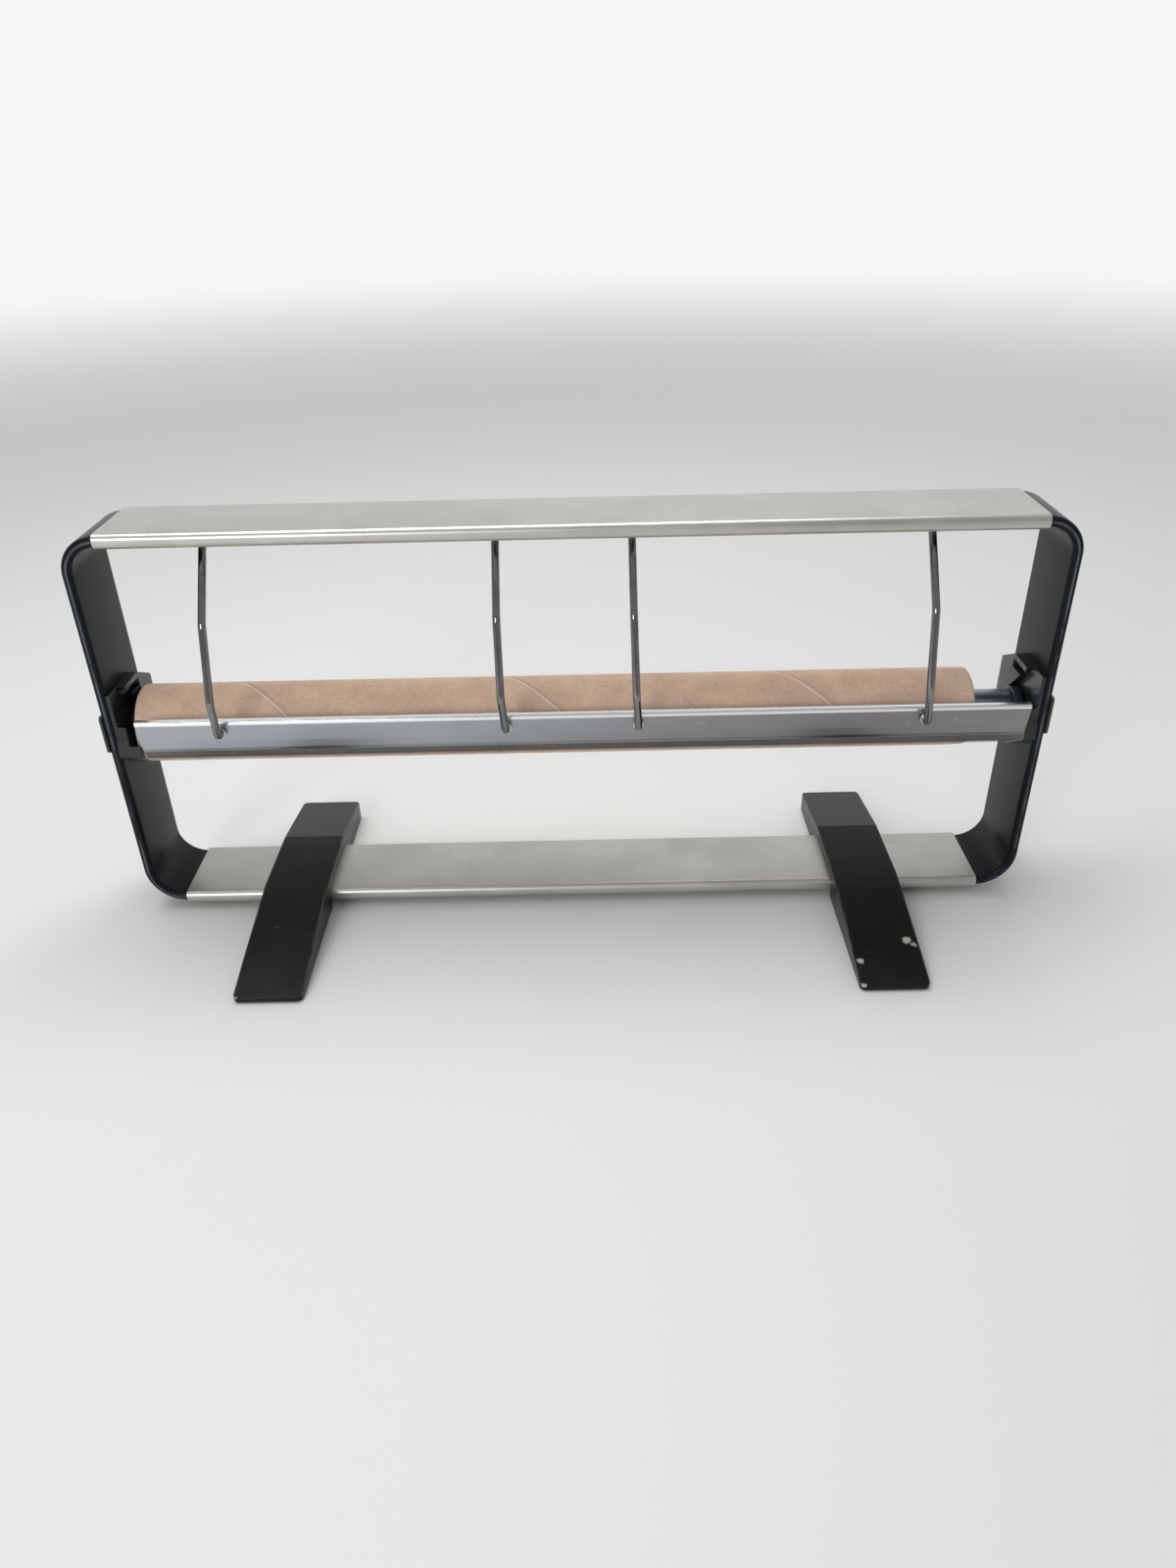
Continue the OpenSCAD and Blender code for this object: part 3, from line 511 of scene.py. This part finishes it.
# C-shaped section: outside with rounded lips, inside the bar's cavity, open below between the hooks
def makeRail(name, top, halfLength):
    s = railShape
    low = top - s["wall"] - s["bar"] - s["hookThick"]
    h, c, g = s["halfDepth"], s["halfDepth"] - s["wall"], s["halfDepth"] - s["wall"] - s["hookWide"]
    ceiling, shelf = top - s["wall"], low + s["hookThick"]
    corners = [(-g, low), (-h, low), (-h, top), (h, top), (h, low), (g, low), (g, shelf), (c, shelf),
               (c, ceiling), (-c, ceiling), (-c, shelf), (-g, shelf)]
    edge, lip, cavity = s["hookRound"], s["lip"], s["cavityRound"]
    radii = [edge, lip, lip, lip, lip, edge, edge, cavity, cavity, cavity, cavity, edge]
    section = roundedLine(corners, radii, 14) + [s["depth"], 0]
    rail = straightBar(name + "Visual", section, -halfLength, halfLength, s["endRound"])
    place(rail, "frame", "rail", name)


makeRail("top_rail", 250.0, 257.0)
makeRail("bottom_rail", 13.3, 255.0)
print("rails are made")

bracketShape = {"halfWidth": 26.0, "thick": 6.0, "edge": 2.5, "outside": 279.0, "legTop": 214.0,
                "legLow": 212.0, "bendTop": 22.0, "bendLow": 24.0, "top": 248.5, "low": 5.8, "depth": 18.5}


# flat bar bent at two corners; its section runs along the middle of the bar
def makeBracket(name, side):
    s = bracketShape
    half = s["thick"] / 2
    upright, low, top = side * (s["outside"] - half), s["low"] + half, s["top"] - half
    corners = [(x, s["depth"], z) for x, z in ((side * s["legLow"], low), (upright, low), (upright, top),
                                               (side * s["legTop"], top))]
    path = roundedLine(corners, [1, s["bendLow"] - half, s["bendTop"] - half, 1], 28, closed=False) * mm
    w, t = s["halfWidth"] * mm, half * mm
    section = roundedLine([(-w, -t), (w, -t), (w, t), (-w, t)], [s["edge"] * mm] * 4, 7)
    bar = sweep(name + "Visual", section, path, (0, 1, 0), sharp=50)
    place(bar, "frame", "bracket", name)


makeBracket("left_bracket", -1)
makeBracket("right_bracket", 1)
print("brackets are made")

for side in ("left", "right"):
    place(softened(side + "_footVisual", side + "_foot", 0.9 * mm, 3, 30), "frame", "foot", side + "_foot")
print("feet are made")

wireShape = {"radius": 2.25, "axisHeight": 245.3, "depth": 18.5, "leftArms": (-207.5, -40.5),
             "rightArms": (36.5, 203.5), "kink": (-35.5, 201.0), "elbow": (-45.5, 156.0),
             "foot": (-38.6, 132.5), "stubEnd": -27.0, "bends": (7.0, 9.0, 9.0, 4.0),
             "reference": (0, 0.78, -0.62),
             "leftLean": ((2.0, 3.3, 1.8, 0, 0), (-2.0, -1.6, -1.2, 0, 0)),
             "rightLean": ((-2.8, -2.8, -1.6, 0, 0), (-3.0, -4.0, -3.6, 0, 0))}


# one wire from stub to stub: up the first arm, across in the top rail, down the other arm; each arm
# leans sideways by its own amounts, given from the top down
def makeWire(name, arms, leans):
    s = wireShape
    outline = [(0, s["axisHeight"]), s["kink"], s["elbow"], s["foot"], (s["stubEnd"], s["foot"][1])]
    up = [(arms[0] + lean, s["depth"] + y, z) for (y, z), lean in zip(outline, leans[0])][::-1]
    down = [(arms[1] + lean, s["depth"] + y, z) for (y, z), lean in zip(outline, leans[1])]
    radii = [1] + list(s["bends"][::-1])
    path = roundedLine(up + down, radii + radii[::-1], 12, closed=False) * mm
    wire = tube(name + "Visual", path, s["radius"] * mm, s["reference"], 28)
    place(wire, "knife_swing", "wire", name)


makeWire("left_wire", wireShape["leftArms"], wireShape["leftLean"])
makeWire("right_wire", wireShape["rightArms"], wireShape["rightLean"])


# one ring on each arm, turned about the stub's axis: y = outline y, and x and z = centre + r * cos(t)
# and centre + r * sin(t)
def makeRings(node, arms, outline, slot):
    s, sides = wireShape, 40
    t = np.arange(sides) * 2 * math.pi / sides
    rings = []
    for x in arms:
        grid = np.stack([x + outline[:, 1:] * np.cos(t), np.repeat(outline[:, :1] + s["depth"], sides, 1),
                         s["foot"][1] + outline[:, 1:] * np.sin(t)], -1) * mm
        rings.append(surface(node + "Visual", grid, closedI=True))
    with bpy.context.temp_override(active_object=rings[0], selected_editable_objects=rings):
        bpy.ops.object.join()
    place(rings[0], "knife_swing", slot, node)


# Y from the rail's middle and radius, in mm
collarOutline = roundedLine([(-34.6, 2.25), (-34.6, 3.3), (-33.0, 3.3), (-33.0, 2.25)],
                            [0.1, 0.6, 0.3, 0.1], 6)
clipOutline = roundedLine([(-28.9, 2.25), (-28.9, 4.6), (-27.3, 4.6), (-27.3, 2.25)],
                          [0.1, 0.3, 0.3, 0.1], 4)
for side in ("left", "right"):
    arms = wireShape[side + "Arms"]
    makeRings(side + "_knobs", arms, collarOutline, "collar")
    makeRings(side + "_wire_clips", arms, clipOutline, "clip")
print("wires are made")

knifeShape = {"left": -257.2, "right": 264.8, "crease": (-28.0, 118.0), "depth": 18.5,
              "bladeThick": 0.8, "bladeFront": 0.9, "bladeIn": 3.5, "bladeOut": 6.0, "pitch": 1.1,
              "tooth": 1.9, "gap": 0.34, "seat": 2.6, "seatUp": 4.6, "endRound": 0.04,
              "endGap": 0.1, "slack": 0.02, "topSlack": 0.03, "ground": 0.6, "groundIn": 0.45}


# a down along the blade and b behind the front of the bar's foot, seen from the crease
def onBlade(a, b):
    return (b, -a)


# curved face from the crease up to the rounded top bead, with the blade's groove at its foot
def makeKnifeBar():
    s = knifeShape
    b0, b1 = s["bladeFront"], s["bladeFront"] + s["bladeThick"]
    face = [(-1.5, 2.6), (-2.9, 8.0), (-4.0, 13.7), (-5.0, 19.2), (-4.9, 21.0), (-4.2, 21.8)]
    back = [(-1.0, 21.8), (-1.0, 20.2), (-2.9, 20.2), (-3.0, 19.2), (-2.0, 13.7), (-0.9, 8.0),
            onBlade(-s["seatUp"], s["seat"]), onBlade(0, s["seat"])]
    groove = [onBlade(0, b1), onBlade(-s["bladeIn"], b1), onBlade(-s["bladeIn"], b0), onBlade(0, b0)]
    corners = [(0, 0)] + face + back + groove
    radii = [0.15, 4, 6, 6, 1.2, 0.7, 0.5, 0.3, 0.3, 0.3, 0.6, 4, 4, 0.6, 0.2, 0.05, 0.05, 0.05, 0.05]
    section = roundedLine(np.array(corners) + [s["crease"][0] + s["depth"], s["crease"][1]], radii, 7)
    bar = straightBar("knife_barVisual", section, s["left"], s["right"], s["endRound"], sharp=40)
    place(bar, "knife_swing", "knife_bar", "knife_bar")


# thin strip with teeth along its lower edge. Each pitch has five stations along X: the gap's high
# middle, two shoulders part of the way down and the two low corners of the tooth between them. The
# lower part of the front face is ground back
def makeBlade():
    s = knifeShape
    count = int((s["right"] - s["left"]) / s["pitch"])
    step = (s["right"] - s["left"] - 2 * s["endGap"]) / count
    station = np.array([0, s["gap"] * 0.5, 0.5 - s["gap"] * 0.05, 0.5 + s["gap"] * 0.05, 1 - s["gap"] * 0.5])
    x = s["left"] + s["endGap"] + (np.arange(count)[:, None] + station).ravel() * step
    x = np.append(x, s["left"] + s["endGap"] + count * step)
    low = np.append(np.tile([0, 0.45, 1, 1, 0.45], count), 0)
    tip = s["bladeOut"] - s["tooth"] * (1 - low)
    ground = np.full(len(x), s["bladeOut"] - s["tooth"] - s["ground"])
    top = np.full(len(x), s["topSlack"] - s["bladeIn"])
    front, back = s["bladeFront"] + s["slack"], s["bladeFront"] + s["bladeThick"] - s["slack"]
    lines = [(top, front), (ground, front), (tip, front + s["groundIn"]), (tip, back), (top, back)]
    grid = np.stack([np.stack([x, s["depth"] + s["crease"][0] + b + 0 * x, s["crease"][1] - a], -1)
                     for a, b in lines], 1) * mm
    blade = surface("serrated_bladeVisual", grid, sharp=20)
    place(blade, "knife_swing", "blade", "serrated_blade")


makeKnifeBar()
makeBlade()
print("knife is made")

rollShape = {"coreLeft": -263.0, "coreRight": 237.0, "coreRadius": 23.75, "coreWall": 2.5,
             "shaftEnd": 264.0, "shaftRadius": 10.0, "shaftWall": 1.6, "hubFace": 264.4, "hubEnd": 270.1,
             "hubRadius": 11.5, "pinRadius": 8.32, "pinIn": 246.0,
             "dents": ((237.0, 0.00022, 3, 1, 0.006), (-263.0, 0.00016, 2, 2, 0.005))}


# the core's wall with softened mouths, a little dented near its ends: at each end the radius changes
# by -depth * (1 + cos(lobes * t + turn)) * exp(-((x - end) / reach)^2). A row of dents is the end's x
# in mm, then the depth in m, lobes, turn and the reach in m
def makeRoll():
    s = rollShape
    a, b, r, w = s["coreLeft"], s["coreRight"], s["coreRadius"], s["coreWall"]
    x = np.concatenate([[a + 2, a + 6, a + 14], np.linspace(a + 30, b - 30, 12), [b - 14, b - 6, b - 2]])
    outer = np.stack([x, np.full(len(x), r)], 1)
    mouthB = np.array([[b - 0.9, r - 0.08], [b - 0.35, r - 0.4], [b - 0.05, r - 1.0], [b - 0.05, r - 1.7],
                       [b - 0.3, r - 2.3]])
    mouthA = mouthB[::-1] * [-1, 1] + [a + b, 0]
    inner = np.stack([x[::-1], np.full(len(x), r - w)], 1)
    outline = np.concatenate([outer, mouthB, inner, mouthA]) * mm

    def dents(along, t):
        return sum(-depth * (1 + np.cos(lobes * t + turn)) * np.exp(-((along - end * mm) / reach) ** 2)
                   for end, depth, lobes, turn, reach in s["dents"])

    place(turned("coreVisual", outline, rollAxis, 128, dents), "core_set", "core", "core")
    e, r, w = s["shaftEnd"], s["shaftRadius"], s["shaftWall"]
    outline = roundedLine([(-e, r - w), (-e, r), (e, r), (e, r - w)], [0.3, 0.5, 0.5, 0.3], 5)
    place(turned("shaft_tubeVisual", outline * mm, rollAxis, 72), "shaft", "shaft", "shaft_tube")
    for side, node in ((-1, "left_hub"), (1, "right_hub")):
        corners = [(s["pinIn"], 0.4), (s["pinIn"], s["pinRadius"]), (s["hubFace"], s["pinRadius"]),
                   (s["hubFace"], s["hubRadius"]), (s["hubEnd"], s["hubRadius"]), (s["hubEnd"], 0.4)]
        outline = roundedLine(corners, [0.1, 1.0, 0.2, 0.8, 0.6, 0.1], 5)
        outline = np.concatenate([[[s["pinIn"], 0]], outline[5:], [[s["hubEnd"], 0]]])
        hub = turned(node + "Visual", outline * [side * mm, mm], rollAxis, 64, weld=True)
        place(hub, "hub_carrier", "hub", node)


makeRoll()
print("roll is made")

for side in ("left", "right"):
    for slot, width in (("holder", 0.35), ("backing_plate", 0.3)):
        node = side + "_" + slot
        place(softened(node + "Visual", node, width * mm), "frame", slot, node)
print("holders are made")

studio = {"floor": (0.80, 0.80, 0.79), "floorSize": 30.0, "fade": (1.0, 4.0), "white": 0.93,
          "horizon": 1.0, "ceiling": 0.42, "room": 0.34}
lights = {"windowLight": {"at": (-0.9, -1.9, 0.85), "aim": (0, 0, 0.12), "size": (0.7, 0.9), "power": 15.0,
                          "tint": (0.95, 0.98, 1)},
          "ceilingLight": {"at": (-0.2, 0.3, 1.5), "aim": (0, 0, 0.1), "size": (1.6, 0.5), "power": 13.5,
                           "tint": (1, 0.985, 0.965)}}


# pale floor that turns into the white of the background far away
def makeFloor():
    s = studio["floorSize"]
    mesh = bpy.data.meshes.new("studioFloor")
    mesh.from_pydata([(-s, -s, 0), (s, -s, 0), (s, s, 0), (-s, s, 0)], [], [(0, 1, 2, 3)])
    floor = bpy.data.objects.new("studioFloor", mesh)
    bpy.context.scene.collection.objects.link(floor)
    material, spot = newFinish("paleFloor")
    grain = spot.noise(0.004, 2.0, 0.5)
    color = (grain * 0.5).tint(studio["floor"], tuple(0.985 * c for c in studio["floor"]))
    paint = spot.node("ShaderNodeBsdfPrincipled", {}, {"Base Color": color, "Roughness": 0.55})
    white = spot.node("ShaderNodeEmission", {}, {"Color": (1, 1, 1, 1), "Strength": studio["white"]})
    camera = spot.node("ShaderNodeLightPath", out="Is Camera Ray")
    glossy = spot.node("ShaderNodeLightPath", out="Is Glossy Ray")
    far = spot.reach((0, 0, 0)).step(*studio["fade"])
    behind = spot.part(1).step(0.2, 1.5)
    mixed = spot.node("ShaderNodeMixShader", {}, {0: far * camera.over(glossy * behind), 1: paint, 2: white})
    spot.closing("ShaderNodeOutputMaterial", mixed)
    mesh.materials.append(material)


def areaLight(name, at, aim, size, power, tint):
    data = bpy.data.lights.new(name, "AREA")
    data.shape, data.size, data.size_y = "RECTANGLE", size[0], size[1]
    data.energy, data.color = power, tint
    lamp = bpy.data.objects.new(name, data)
    bpy.context.scene.collection.objects.link(lamp)
    back = np.array(at, float) - np.array(aim, float)
    back /= np.linalg.norm(back)
    side = np.cross((0, 1e-3, 1), back)
    side /= np.linalg.norm(side)
    up = np.cross(back, side)
    lamp.matrix_world = Matrix.Translation(at) @ Matrix(np.stack([side, up, back], 1).tolist()).to_4x4()


# room light: a bright wall along the horizon behind the object, a dimmer ceiling and a dim front
def makeWorld():
    world = bpy.data.worlds.new("studioWorld")
    bpy.context.scene.world = world
    world.use_nodes = True
    world.node_tree.nodes.clear()
    way = Field(world.node_tree).node("ShaderNodeTexCoord", out="Generated")
    camera = way.node("ShaderNodeLightPath", out="Is Camera Ray")
    wall = way.part(1).step(-0.35, 0.75) * (1 - way.part(2).step(0.28, 0.62))
    ceiling = way.part(2).step(0.2, 0.8)
    level = studio["room"] + ceiling * (studio["ceiling"] - studio["room"])
    level = level + wall * (studio["horizon"] - studio["room"])
    soft = way.node("ShaderNodeBackground", {}, {"Color": (0.94, 0.97, 1.0, 1), "Strength": level})
    white = way.node("ShaderNodeBackground", {}, {"Color": (1, 1, 1, 1), "Strength": studio["white"]})
    way.closing("ShaderNodeOutputWorld", way.node("ShaderNodeMixShader", {}, {0: camera, 1: soft, 2: white}))


makeFloor()
makeWorld()
for name, settings in lights.items():
    areaLight(name, **settings)
bpy.context.scene.view_settings.view_transform = "Standard"
print("studio is set")
